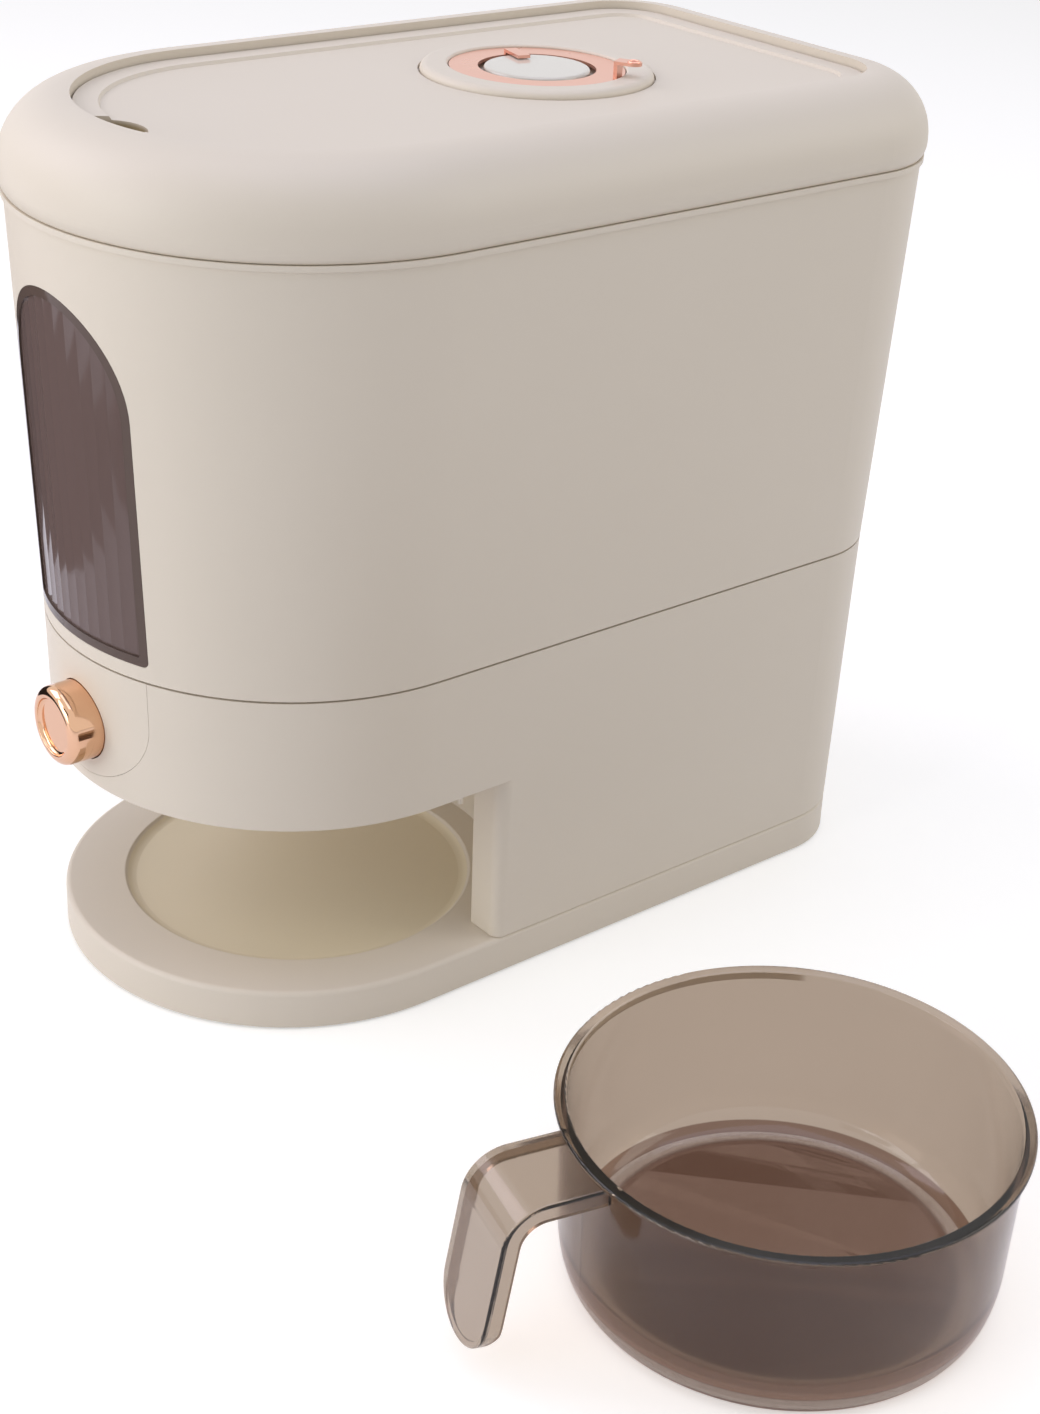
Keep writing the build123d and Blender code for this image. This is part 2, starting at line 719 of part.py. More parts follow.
# ---- upper bin: flared shell, collar, tongue into the housing, and the window's opening ----
with BuildPart() as upper_bin:
    add(band(bin_half(bin_bottom), bin_bottom, collar_top, wall, bin_taper))
    add(band(collar_half, collar_bottom, collar_top, wall))
    add(band(tongue_half, tongue_low, tongue_high, thin_wall))
    add(band(bin_half(bin_bottom) - 1.0, bin_bottom, tongue_high, 3.0))
    add(front_prism(arch_face(0)), mode=Mode.SUBTRACT)
upper_bin.part.label = "upper_bin"
export_step(upper_bin.part, "parts/upper_bin.step")

# ---- window panel: smoky arch with a sunk field, upright flutes inside and a lip behind ----
window_top_z = seam_z + window_spring + window_half
window_depth = wall + 0.2
flute_turn = 2 * degrees(atan2(window_half - window_border, seam_half)) / flute_count
flute_radius = 6.0
with BuildPart() as window_panel:
    add(
        curved_panel(
            arch_face(-window_gap),
            band(bin_half(window_low_z), window_low_z, window_top_z, window_depth, bin_taper),
        )
    )
    add(
        curved_panel(
            arch_face(window_lip),
            band(
                bin_half(window_low_z - window_lip) - window_depth + 0.001,
                window_low_z - window_lip,
                window_top_z + window_lip,
                thin_wall,
                bin_taper,
            ),
        )
    )
    add(
        curved_panel(
            arch_face(-window_border),
            band(bin_half(window_low_z) + 1.0, window_low_z, window_top_z, 1.0 + window_sunk, bin_taper),
        ),
        mode=Mode.SUBTRACT,
    )
    for number in range(flute_count):
        turn = (number - (flute_count - 1) / 2) * flute_turn
        out = (sin(radians(turn)), -cos(radians(turn)))
        depth = window_depth + thin_wall + flute_radius - flute_depth
        reach = bin_half(window_low_z) - depth
        lean = (out[0] * sin(radians(bin_taper)), out[1] * sin(radians(bin_taper)), cos(radians(bin_taper)))
        foot = (out[0] * reach, front_y + out[1] * reach, window_low_z + 1.5)
        half_x = abs(out[0]) * seam_half
        crown = seam_z + window_spring + sqrt(max((window_half - window_border) ** 2 - half_x**2, 0))
        with BuildSketch(Plane(origin=foot, z_dir=lean)):
            Circle(flute_radius)
        extrude(amount=crown - window_low_z - 4.0, mode=Mode.SUBTRACT)
window_panel.part.label = "window_panel"
export_step(window_panel.part, "parts/window_panel.step")

# ---- levels of the top ----
# The flap turns about pins in its sides. The part of it behind the pins dips into a pocket.
flap_top = top_z - flap_sunk
field_top = flap_top - field_sunk
plate_under = field_top - flap_plate
skirt_low = flap_top - skirt_depth
hinge_z = flap_top - hinge_radius
hinge_y = corner_y + 2.0
opening_half = flap_half + flap_gap
liner_top = skirt_low + liner_thickness + 0.5
liner_low = liner_top - liner_thickness
seal_low = liner_low - seal_height
ledge_top = seal_low - slack
ledge_low = ledge_top - ledge_thickness
notch_y = front_y - flap_half
skirt_back = hinge_y - hinge_radius - 3.0
pocket_front = skirt_back + 1.0
web_high = rim_z + 2.2

# ---- top frame: rounded rim with the flap's well, the seal's ledge, hinge bosses and pocket ----
with BuildPart() as top_frame:
    rim_start = rim_z - rim_tuck_height
    with BuildSketch(Plane.XY.offset(rim_start)):
        plan(rim_half)
    extrude(amount=top_z - rim_start)
    fillet(top_frame.faces().sort_by(Axis.Z)[-1].edges(), rim_round)
    fillet(top_frame.faces().sort_by(Axis.Z)[0].edges(), rim_tuck)
    with BuildPart(mode=Mode.PRIVATE) as rim_room:
        with BuildSketch(Plane.XY.offset(rim_start)):
            plan(rim_half - wall)
        extrude(amount=top_z - wall - rim_start)
        fillet(rim_room.faces().sort_by(Axis.Z)[-1].edges(), rim_round - wall)
        add(block(opening_half + wall, rim_start, top_z), mode=Mode.SUBTRACT)
    add(rim_room.part, mode=Mode.SUBTRACT)
    add(block(opening_half, rim_start, top_z), mode=Mode.SUBTRACT)
    add(block(rim_half + 1, rim_start - 1, rim_z), mode=Mode.SUBTRACT)
    plug_low = rim_z - 9.0
    add(band(bin_half(plug_low) - wall - slack, plug_low, web_high, thin_wall))
    add(band(rim_half - wall + 0.5, rim_z, web_high, rim_half - opening_half - wall))
    with BuildSketch(Plane.XY.offset(ledge_low)):
        plan(opening_half + wall / 2)
        with BuildSketch(Plane.XY.offset(ledge_low), mode=Mode.PRIVATE) as well_mouth:
            plan(opening_half - ledge_width)
            with Locations((0, notch_y)):
                Circle(notch_radius + ledge_width, mode=Mode.SUBTRACT)
            with Locations((0, pocket_front - ledge_width + flap_half)):
                Rectangle(3 * flap_half, 2 * flap_half, mode=Mode.SUBTRACT)
        add(well_mouth.sketch, mode=Mode.SUBTRACT)
        with Locations((0, pocket_front + flap_half)):
            Rectangle(2 * opening_half, 2 * flap_half, mode=Mode.SUBTRACT)
    extrude(amount=ledge_thickness)
    with BuildSketch(Plane.XY.offset(rim_z)):
        plan(opening_half + wall / 2)
        with Locations((0, pocket_front - thin_wall - 2 * flap_half)):
            Rectangle(4 * flap_half, 4 * flap_half, mode=Mode.SUBTRACT)
    extrude(amount=web_high - rim_z)
    with BuildSketch(Plane.XY.offset(rim_z)):
        with Locations((0, pocket_front - thin_wall / 2)):
            Rectangle(2 * opening_half + wall, thin_wall)
    extrude(amount=ledge_top - rim_z)
    for side in (-1, 1):
        with Locations((side * (opening_half + wall + 2.5), hinge_y, hinge_z)):
            Box(7.0, 4 * hinge_radius, 2 * hinge_radius + 3.0)
        with Locations(Location((side * (opening_half + 6.0), hinge_y, hinge_z), (0, 90, 0))):
            Cylinder(pin_radius + pin_fit, 14.0, mode=Mode.SUBTRACT)
top_frame.part.label = "top_frame"
export_step(top_frame.part, "parts/top_frame.step")

# ---- flap lid: sunk field, skirt, finger notch, dial well and pivot bosses ----
post_points = [(x, y) for x in (-50, 50) for y in (-90, 15, 100)]
with BuildPart() as flap_lid:
    add(band(flap_half, skirt_low, plate_under + 0.5, thin_wall))
    with BuildSketch(Plane.XY.offset(skirt_low)):
        with Locations((0, notch_y)):
            Circle(notch_radius + notch_wall)
        with Locations((0, skirt_back - thin_wall / 2)):
            Rectangle(2 * flap_half - thin_wall, thin_wall)
    extrude(amount=plate_under - skirt_low + 0.5)
    with Locations((0, skirt_back + flap_half, skirt_low)):
        Box(
            3 * flap_half,
            2 * flap_half,
            skirt_depth,
            align=(Align.CENTER, Align.CENTER, Align.MIN),
            mode=Mode.SUBTRACT,
        )
    with BuildSketch(Plane.XY.offset(liner_top)):
        with Locations(*post_points):
            Circle(3.0)
    extrude(amount=plate_under - liner_top + 0.2)
    for side in (-1, 1):
        with Locations(Location((side * (flap_half - 8.0), hinge_y, hinge_z), (0, 90, 0))):
            Cylinder(hinge_radius, 16.0)
    add(block(flap_half, plate_under, flap_top))
    with BuildSketch(Plane.XY.offset(flap_top)):
        plan(flap_half - field_inset)
    extrude(amount=-field_sunk, taper=30, mode=Mode.SUBTRACT)
    add(block(flap_half, skirt_low, flap_top), mode=Mode.INTERSECT)
    with BuildSketch(Plane.XY.offset(skirt_low)):
        with Locations((0, notch_y)):
            Circle(notch_radius)
    extrude(amount=flap_top - skirt_low, mode=Mode.SUBTRACT)
    notch_corners = flap_lid.edges().filter_by(Axis.Z).group_by(Axis.Y)[0]
    fillet(notch_corners, notch_corner)
    for side in (-1, 1):
        with Locations(Location((side * flap_half, hinge_y, hinge_z), (0, 90, 0))):
            Cylinder(pin_radius + pin_fit, pin_length + 1.0, mode=Mode.SUBTRACT)
    with BuildSketch(Plane.XY.offset(field_top)):
        with Locations((0, dial_y)):
            Circle(bezel_outer + dial_gap)
    extrude(amount=-dial_sunk, mode=Mode.SUBTRACT)
    with BuildSketch(Plane.XY.offset(plate_under)):
        with Locations((0, dial_y)):
            Circle(dial_screw_radius + slack)
    extrude(amount=flap_plate, mode=Mode.SUBTRACT)
flap_lid.part.label = "flap_lid"
export_step(flap_lid.part, "parts/flap_lid.step")

# ---- hinge pins ----
with BuildPart() as hinge_pins:
    for side in (-1, 1):
        with Locations(Location((side * flap_half, hinge_y, hinge_z), (0, 90, 0))):
            Cylinder(pin_radius, pin_length)
hinge_pins.part.label = "hinge_pins"
export_step(hinge_pins.part, "parts/hinge_pins.step")

# ---- flap liner and its seal ----
liner_half = flap_half - thin_wall - slack
liner_back = skirt_back - thin_wall - slack
with BuildPart() as flap_liner:
    with BuildSketch(Plane.XY.offset(liner_low)):
        plan(liner_half)
        with Locations((0, notch_y)):
            Circle(notch_radius + notch_wall + slack, mode=Mode.SUBTRACT)
        with Locations((0, liner_back + flap_half)):
            Rectangle(3 * flap_half, 2 * flap_half, mode=Mode.SUBTRACT)
    extrude(amount=liner_thickness)
flap_liner.part.label = "flap_liner"
export_step(flap_liner.part, "parts/flap_liner.step")


def seal_outline(inset):
    """Returns the liner's outline, drawn in by the given amount, as a sketch at the seal's height."""
    with BuildSketch(Plane.XY.offset(seal_low)) as outline:
        plan(liner_half - inset)
        with Locations((0, notch_y)):
            Circle(notch_radius + notch_wall + inset, mode=Mode.SUBTRACT)
        with Locations((0, liner_back - inset + flap_half)):
            Rectangle(3 * flap_half, 2 * flap_half, mode=Mode.SUBTRACT)
    return outline.sketch


with BuildPart() as lid_seal:
    extrude(seal_outline(1.0), amount=seal_height)
    extrude(seal_outline(1.0 + seal_width), amount=seal_height, mode=Mode.SUBTRACT)
lid_seal.part.label = "lid_seal"
export_step(lid_seal.part, "parts/lid_seal.step")

# ---- date dial: bezel, ring with two pointers, disc, bead and the screw that holds the disc ----
dial_floor = field_top - dial_sunk
dial_plane = Plane.XY.offset(dial_floor + 0.2)
with BuildPart() as dial_bezel:
    with BuildSketch(dial_plane):
        with Locations((0, dial_y)):
            Circle(bezel_outer)
            Circle(bezel_inner, mode=Mode.SUBTRACT)
    extrude(amount=bezel_height)
    with BuildSketch(dial_plane):
        with Locations((0, dial_y)):
            Circle(bezel_inner)
            Circle(bezel_inner - bezel_lip, mode=Mode.SUBTRACT)
    extrude(amount=bezel_lip_height)
    bezel_edges = dial_bezel.faces().sort_by(Axis.Z)[-1].edges().sort_by(SortBy.RADIUS)
    fillet(bezel_edges[-1], bezel_height - 1.0)
    fillet(dial_bezel.faces().sort_by(Axis.Z)[-1].edges().sort_by(SortBy.RADIUS)[0], 1.0)
dial_bezel.part.label = "dial_bezel"
export_step(dial_bezel.part, "parts/dial_bezel.step")

ring_top = dial_floor + 3.2
ring_low = ring_top - ring_thickness
post_reach = ring_outer - 1.0
with BuildPart() as dial_ring:
    with BuildSketch(Plane.XY.offset(ring_low)):
        with Locations((0, dial_y)):
            Circle(ring_outer)
            Circle(ring_inner, mode=Mode.SUBTRACT)
    extrude(amount=ring_thickness)
    with BuildSketch(Plane.XY.offset(dial_floor)):
        with Locations((0, dial_y)):
            Circle(ring_outer - 3.0)
            Circle(ring_outer - 5.0, mode=Mode.SUBTRACT)
    extrude(amount=ring_low - dial_floor)
    with Locations(Location((0, dial_y, 0), pointer_angle)):
        with Locations((post_reach, 0, ring_low)):
            Box(
                1.4,
                pointer_width,
                ring_thickness + pointer_rise,
                align=(Align.CENTER, Align.CENTER, Align.MIN),
            )
        arm_z = ring_top + pointer_rise - pointer_plate
        with Locations(((post_reach + pointer_end) / 2, 0, arm_z)):
            Box(
                pointer_end - post_reach,
                pointer_width,
                pointer_plate,
                align=(Align.CENTER, Align.CENTER, Align.MIN),
            )
        with Locations((pointer_end, 0, arm_z)):
            Cylinder(pointer_width / 2, pointer_plate, align=(Align.CENTER, Align.CENTER, Align.MIN))
            Cylinder(eyelet_radius, 4 * pointer_plate, mode=Mode.SUBTRACT)
        with Locations((pointer_end, 0, arm_z + pointer_plate)):
            Torus(eyelet_radius + eyelet_wire, eyelet_wire)
    with Locations(Location((0, dial_y, 0), marker_angle)):
        with Locations((ring_inner + 0.7, 0, ring_low)):
            Box(
                1.4,
                marker_width,
                ring_thickness + marker_rise,
                align=(Align.CENTER, Align.CENTER, Align.MIN),
            )
        with Locations(((ring_inner + marker_end) / 2, 0, ring_top + marker_rise - 1.1)):
            Box(
                ring_inner - marker_end,
                marker_width,
                1.1,
                align=(Align.CENTER, Align.CENTER, Align.MIN),
            )
dial_ring.part.label = "dial_ring"
export_step(dial_ring.part, "parts/dial_ring.step")

with BuildPart() as dial_disc:
    with BuildSketch(dial_plane):
        with Locations((0, dial_y)):
            Circle(disc_radius)
    extrude(amount=disc_height)
    fillet(dial_disc.faces().sort_by(Axis.Z)[-1].edges(), 1.4)
    with BuildSketch(dial_plane):
        with Locations((0, dial_y)):
            Circle(dial_screw_radius - 0.4)
    extrude(amount=disc_height - 1.0, mode=Mode.SUBTRACT)
dial_disc.part.label = "dial_disc"
export_step(dial_disc.part, "parts/dial_disc.step")

with BuildPart() as dial_screw:
    with BuildSketch(Plane.XY.offset(plate_under - 0.2)):
        with Locations((0, dial_y)):
            Circle(2 * dial_screw_radius)
    extrude(amount=-head_height)
    with BuildSketch(Plane.XY.offset(plate_under - 0.2)):
        with Locations((0, dial_y)):
            Circle(dial_screw_radius)
    extrude(amount=dial_floor + 0.2 - plate_under + 0.2)
    with BuildSketch(dial_plane):
        with Locations((0, dial_y)):
            Circle(dial_screw_radius - 0.45)
    extrude(amount=disc_height - 1.2)
dial_screw.part.label = "dial_screw"
export_step(dial_screw.part, "parts/dial_screw.step")

# ---- measuring cup: bowl with a rim, and a strap handle with side flanges ----
cup_out = (cos(radians(handle_angle)), sin(radians(handle_angle)))
cup_side = Plane(origin=(*cup_place, 0), x_dir=(*cup_out, 0), z_dir=(cup_out[1], -cup_out[0], 0))
cup_axis = Axis((*cup_place, 0), (0, 0, 1))
cup_mouth = cup_radius - rim_width
handle_top = cup_height - handle_drop
tip = (handle_reach + handle_lean, handle_foot)
leg_turn = degrees(atan2(handle_lean, handle_top - handle_foot))


def bowl_face(foot, low, floor, mouth):
    """Returns half of a bowl's section: flat floor, rounded corner and a side that leans out."""
    with BuildSketch(cup_side) as section:
        with BuildLine() as outline:
            Line((0, floor), (foot, floor))
            EllipticalCenterArc((foot, cup_corner), low - foot, cup_corner - floor, 270, arc_size=90)
            Line((low, cup_corner), (mouth, cup_height))
            Polyline((mouth, cup_height), (0, cup_height), (0, floor))
        make_face(outline.edges())
    return section.sketch


def strap_face(depth):
    """Returns the handle's side view: a bent strip of the given depth below its outer face."""
    with BuildSketch(cup_side) as strip:
        with BuildLine() as outline:
            FilletPolyline((cup_foot, handle_top), (handle_reach, handle_top), tip, radius=handle_bend)
            offset(amount=depth, side=Side.RIGHT)
        make_face(outline.edges())
        with Locations(Location(tip, 180 + leg_turn)):
            Polygon(
                (handle_plate, -1),
                (handle_flange + 1, -14),
                (2 * handle_flange, -28),
                (2 * handle_flange, 10),
                (handle_plate, 10),
                align=None,
                mode=Mode.SUBTRACT,
            )
    return strip.sketch


def round_tip(radius):
    """Returns what to cut off a strap so that the handle's lower end gets the given radius."""
    leg_normal = Vector(cos(radians(leg_turn)) * cup_out[0], cos(radians(leg_turn)) * cup_out[1], 0)
    leg_normal = leg_normal + Vector(0, 0, sin(radians(leg_turn)))
    with BuildPart() as cutter:
        with BuildSketch(Plane(cup_side.from_local_coords(Vector(*tip, 0)), -cup_side.z_dir, leg_normal)):
            with Locations((0, handle_width / 4 - 1)):
                Rectangle(handle_width + 2, handle_width / 2 + 2)
            with Locations((0, handle_width / 2)):
                Circle(radius, mode=Mode.SUBTRACT)
        extrude(amount=12, both=True)
    return cutter.part


with BuildLine() as strap_path:
    FilletPolyline((cup_foot, handle_top), (handle_reach, handle_top), tip, radius=handle_bend)

with BuildPart() as strap:
    add(extrude(strap_face(handle_flange), amount=handle_width / 2, both=True, mode=Mode.PRIVATE))
    add(round_tip(handle_width / 2), mode=Mode.SUBTRACT)
    outer_edges = []
    for edge in strap.edges():
        points = [cup_side.to_local_coords(edge.position_at(spot)) for spot in (0.1, 0.5, 0.9)]
        on_path = all(strap_path.wire().distance_to(Vector(p.X, p.Y, 0)) < 0.01 for p in points)
        if on_path and abs(edge.tangent_at(0.1).dot(cup_side.z_dir)) < 0.999:
            outer_edges.append(edge)
    fillet(outer_edges, handle_edge)

with BuildPart() as measuring_cup:
    add(strap.part)
    with BuildPart(mode=Mode.PRIVATE) as strap_room:
        add(
            extrude(
                strap_face(handle_flange) - strap_face(handle_plate),
                amount=handle_width / 2 - thin_wall,
                both=True,
                mode=Mode.PRIVATE,
            )
        )
        add(round_tip(handle_width / 2 - thin_wall), mode=Mode.SUBTRACT)
    add(strap_room.part, mode=Mode.SUBTRACT)
    revolve(bowl_face(cup_foot, cup_low_radius, 0, cup_mouth), axis=cup_axis)
    with BuildSketch(cup_side):
        rim_low = cup_height - rim_depth
        Polygon(
            (0, cup_height),
            (cup_radius, cup_height),
            (cup_radius, rim_low),
            (cup_radius - 2 * rim_width, rim_low - 2 * rim_width),
            (0, rim_low - 2 * rim_width),
            align=None,
        )
    revolve(axis=cup_axis)
    fillet(measuring_cup.faces().sort_by(Axis.Z)[-1].edges(), 1.0)
    inside_foot = cup_low_radius - cup_wall - cup_inside_corner
    inside = bowl_face(inside_foot, cup_low_radius - cup_wall, cup_floor, cup_mouth - cup_wall)
    revolve(inside, axis=cup_axis, mode=Mode.SUBTRACT)
    fillet(measuring_cup.faces().sort_by(Axis.Z)[-1].edges().sort_by(SortBy.RADIUS)[0], 0.6)
measuring_cup.part.label = "measuring_cup"
export_step(measuring_cup.part, "parts/measuring_cup.step")
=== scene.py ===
import math
import bpy
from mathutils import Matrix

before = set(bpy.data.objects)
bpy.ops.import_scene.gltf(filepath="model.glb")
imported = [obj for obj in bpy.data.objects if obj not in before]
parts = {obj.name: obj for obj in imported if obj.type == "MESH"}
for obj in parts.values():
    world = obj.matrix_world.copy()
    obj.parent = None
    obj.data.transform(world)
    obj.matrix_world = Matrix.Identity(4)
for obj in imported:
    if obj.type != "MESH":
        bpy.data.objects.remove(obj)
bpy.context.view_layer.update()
bpy.ops.object.select_all(action="DESELECT")
print("frame loaded with", len(parts), "nodes")

scene = bpy.context.scene
scene.view_settings.view_transform = "Standard"

# The viewpoint and lens of the photograph
cameraView = {
    "place": (0.66993, -0.51797, 0.51452),
    "turn": (62.914, -2.673, 50.845),
    "lens": 59.56,
    "sensor": 36.0,
    "shift": (-0.0167, -0.0210),
    "nearest": 0.02,
}


def addCamera(view):
    turn = [math.radians(angle) for angle in view["turn"]]
    bpy.ops.object.camera_add(location=view["place"], rotation=turn)
    camera = bpy.context.object
    camera.name = "photoCamera"
    camera.data.sensor_fit = "VERTICAL"
    camera.data.sensor_height = view["sensor"]
    camera.data.lens = view["lens"]
    camera.data.shift_x, camera.data.shift_y = view["shift"]
    camera.data.clip_start = view["nearest"]
    scene.camera = camera


addCamera(cameraView)

# Four soft boxes that all point at the same place
lampAim = (0.08, 0.0, 0.12)
lamps = {
    "leftKey": {
        "place": (-1.6, -1.3, 1.7),
        "size": 1.5,
        "power": 20.0,
        "color": (0.95, 0.87, 1.0),
    },
    "overhead": {
        "place": (0.1, 0.3, 2.4),
        "size": 2.2,
        "power": 20.3,
        "color": (0.66, 0.70, 1.0),
    },
    "frontLow": {
        "place": (-0.3, -2.3, 0.9),
        "size": 1.5,
        "power": 22.4,
        "color": (0.98, 0.99, 1.0),
    },
    "rightBack": {
        "place": (1.6, 1.7, 1.4),
        "size": 1.5,
        "power": 15.0,
        "color": (1.0, 0.955, 0.85),
    },
}


def addLamp(name, lamp):
    reach = [b - a for a, b in zip(lamp["place"], lampAim)]
    flat = math.hypot(reach[0], reach[1])
    tilt = math.atan2(flat, -reach[2])
    heading = math.atan2(reach[1], reach[0]) - math.pi / 2
    bpy.ops.object.light_add(type="AREA", location=lamp["place"], rotation=(tilt, 0, heading))
    light = bpy.context.object
    light.name = name
    light.data.shape = "SQUARE"
    light.data.size = lamp["size"]
    light.data.energy = lamp["power"]
    light.data.color = lamp["color"]


for lampName, lampValues in lamps.items():
    addLamp(lampName, lampValues)
print("camera and", len(lamps), "lamps placed")

# A lift is the share of plain white glow that is mixed into the floor for that kind of ray
studio = {
    "white": (1.0, 1.0, 1.0, 1.0),
    "roomLight": (0.95, 0.96, 1.0, 1.0),
    "roomLevel": 0.42,
    "floorSide": 14.0,
    "floorColor": (0.90, 0.90, 0.90, 1.0),  # lights the object
    "floorShine": (1.14, 1.14, 1.14, 1.0),  # in glossy surfaces
    "floorShineLift": 0.0,
    "floorBehind": (1.14, 1.14, 1.14, 1.0),  # through clear plastic
    "floorBehindLift": 0.8,
    "floorSeen": (1.30, 1.28, 1.20, 1.0),  # for the camera
    "floorSeenLift": 0.42,
}
floorRays = {
    "floorShine": "Is Glossy Ray",
    "floorBehind": "Is Transmission Ray",
    "floorSeen": "Is Camera Ray",
}


def eitherOf(tree, first, second):
    both = tree.nodes.new("ShaderNodeMath")
    both.operation = "MAXIMUM"
    tree.links.new(first, both.inputs[0])
    tree.links.new(second, both.inputs[1])
    return both.outputs[0]


# White where the camera, a gloss or clear plastic looks at it, dimmer where it only gives light
def paintWorld(values):
    world = bpy.data.worlds.new("studioRoom")
    scene.world = world
    world.use_nodes = True
    tree = world.node_tree
    tree.nodes.clear()
    path = tree.nodes.new("ShaderNodeLightPath")
    behind = eitherOf(tree, path.outputs["Is Glossy Ray"], path.outputs["Is Transmission Ray"])
    seen = eitherOf(tree, path.outputs["Is Camera Ray"], behind)
    room = tree.nodes.new("ShaderNodeBackground")
    room.inputs["Color"].default_value = values["roomLight"]
    room.inputs["Strength"].default_value = values["roomLevel"]
    bright = tree.nodes.new("ShaderNodeBackground")
    bright.inputs["Color"].default_value = values["white"]
    mix = tree.nodes.new("ShaderNodeMixShader")
    output = tree.nodes.new("ShaderNodeOutputWorld")
    tree.links.new(seen, mix.inputs[0])
    tree.links.new(room.outputs[0], mix.inputs[1])
    tree.links.new(bright.outputs[0], mix.inputs[2])
    tree.links.new(mix.outputs[0], output.inputs["Surface"])


paintWorld(studio)


# A pale cloth that catches the shadow, with its own shade and lift for each kind of ray
def layFloor(values):
    bpy.ops.mesh.primitive_plane_add(size=values["floorSide"], location=(0, 0, 0))
    floor = bpy.context.object
    floor.name = "studioFloor"
    material = bpy.data.materials.new("paleFloor")
    material.use_nodes = True
    tree = material.node_tree
    tree.nodes.clear()
    path = tree.nodes.new("ShaderNodeLightPath")
    last = None
    for name, ray in floorRays.items():
        shade = tree.nodes.new("ShaderNodeMix")
        shade.data_type = "RGBA"
        shade.inputs[6].default_value = values["floorColor"]
        shade.inputs[7].default_value = values[name]
        lift = tree.nodes.new("ShaderNodeMix")
        lift.inputs[2].default_value = 0.0
        lift.inputs[3].default_value = values[name + "Lift"]
        tree.links.new(path.outputs[ray], shade.inputs["Factor"])
        tree.links.new(path.outputs[ray], lift.inputs["Factor"])
        if last:
            tree.links.new(last[0], shade.inputs[6])
            tree.links.new(last[1], lift.inputs[2])
        last = (shade.outputs[2], lift.outputs[0])
    cloth = tree.nodes.new("ShaderNodeBsdfDiffuse")
    tree.links.new(last[0], cloth.inputs["Color"])
    glow = tree.nodes.new("ShaderNodeEmission")
    glow.inputs["Color"].default_value = values["white"]
    mix = tree.nodes.new("ShaderNodeMixShader")
    output = tree.nodes.new("ShaderNodeOutputMaterial")
    tree.links.new(last[1], mix.inputs[0])
    tree.links.new(cloth.outputs[0], mix.inputs[1])
    tree.links.new(glow.outputs[0], mix.inputs[2])
    tree.links.new(mix.outputs[0], output.inputs["Surface"])
    floor.data.materials.append(material)


layFloor(studio)


def startMaterial(name):
    material = bpy.data.materials.new(name)
    material.use_nodes = True
    tree = material.node_tree
    return material, tree, tree.nodes["Principled BSDF"]


# Dark cards that only glossy surfaces see; the drop lowers one upper corner
flags = {
    "leftFlag": {
        "place": (-0.2897, -0.3312, 0.1345),
        "size": (0.64, 0.269),
        "heading": -58.0,
        "drop": 0.246,
    },
    "frontFlag": {
        "place": (0.22, -1.35, 0.85),
        "size": (0.7, 0.35),
        "heading": 10.0,
        "drop": 0.0,
    },
}
felt = {"color": (0.012, 0.010, 0.009, 1), "rough": 0.9}


def hangFlag(name, values):
    bpy.ops.mesh.primitive_plane_add(size=1, location=(0, 0, 0))
    card = bpy.context.object
    card.name = name
    bpy.ops.object.mode_set(mode="EDIT")
    bpy.ops.transform.resize(value=(values["size"][0], values["size"][1], 1))
    bpy.ops.mesh.select_all(action="DESELECT")
    bpy.ops.object.mode_set(mode="OBJECT")
    card.data.vertices[3].select = True
    bpy.ops.object.mode_set(mode="EDIT")
    bpy.ops.transform.translate(value=(0, -values["drop"], 0))
    bpy.ops.object.mode_set(mode="OBJECT")
    card.location = values["place"]
    card.rotation_euler = (math.pi / 2, 0, math.radians(values["heading"]))
    material, tree, shader = startMaterial(name + "Felt")
    shader.inputs["Base Color"].default_value = felt["color"]
    shader.inputs["Roughness"].default_value = felt["rough"]
    card.data.materials.append(material)
    card.visible_camera = False
    card.visible_diffuse = False
    card.visible_transmission = False
    card.visible_volume_scatter = False
    card.visible_shadow = False


for flagName, flagValues in flags.items():
    hangFlag(flagName, flagValues)
print("room, floor and", len(flags), "cards placed")


def surfacePattern(tree, scale, detail=2.0):
    where = tree.nodes.new("ShaderNodeTexCoord")
    noise = tree.nodes.new("ShaderNodeTexNoise")
    noise.inputs["Scale"].default_value = scale
    noise.inputs["Detail"].default_value = detail
    tree.links.new(where.outputs["Object"], noise.inputs["Vector"])
    return noise.outputs["Fac"]


# Carries a value that runs from start to end over to one that runs from low to high
def spread(tree, source, low, high, start=0.0, end=1.0, soft=False):
    reach = tree.nodes.new("ShaderNodeMapRange")
    reach.interpolation_type = "SMOOTHSTEP" if soft else "LINEAR"
    reach.inputs["From Min"].default_value = start
    reach.inputs["From Max"].default_value = end
    reach.inputs["To Min"].default_value = low
    reach.inputs["To Max"].default_value = high
    tree.links.new(source, reach.inputs["Value"])
    return reach.outputs["Result"]


def reckon(tree, operation, first, second=None):
    step = tree.nodes.new("ShaderNodeMath")
    step.operation = operation
    for number, value in enumerate((first, second)):
        if isinstance(value, (int, float)):
            step.inputs[number].default_value = value
        elif value is not None:
            tree.links.new(value, step.inputs[number])
    return step.outputs[0]


def blendColors(tree, amount, first, second):
    shade = tree.nodes.new("ShaderNodeMix")
    shade.data_type = "RGBA"
    for number, color in ((6, first), (7, second)):
        if isinstance(color, tuple):
            shade.inputs[number].default_value = color
        else:
            tree.links.new(color, shade.inputs[number])
    tree.links.new(amount, shade.inputs["Factor"])
    return shade.outputs[2]


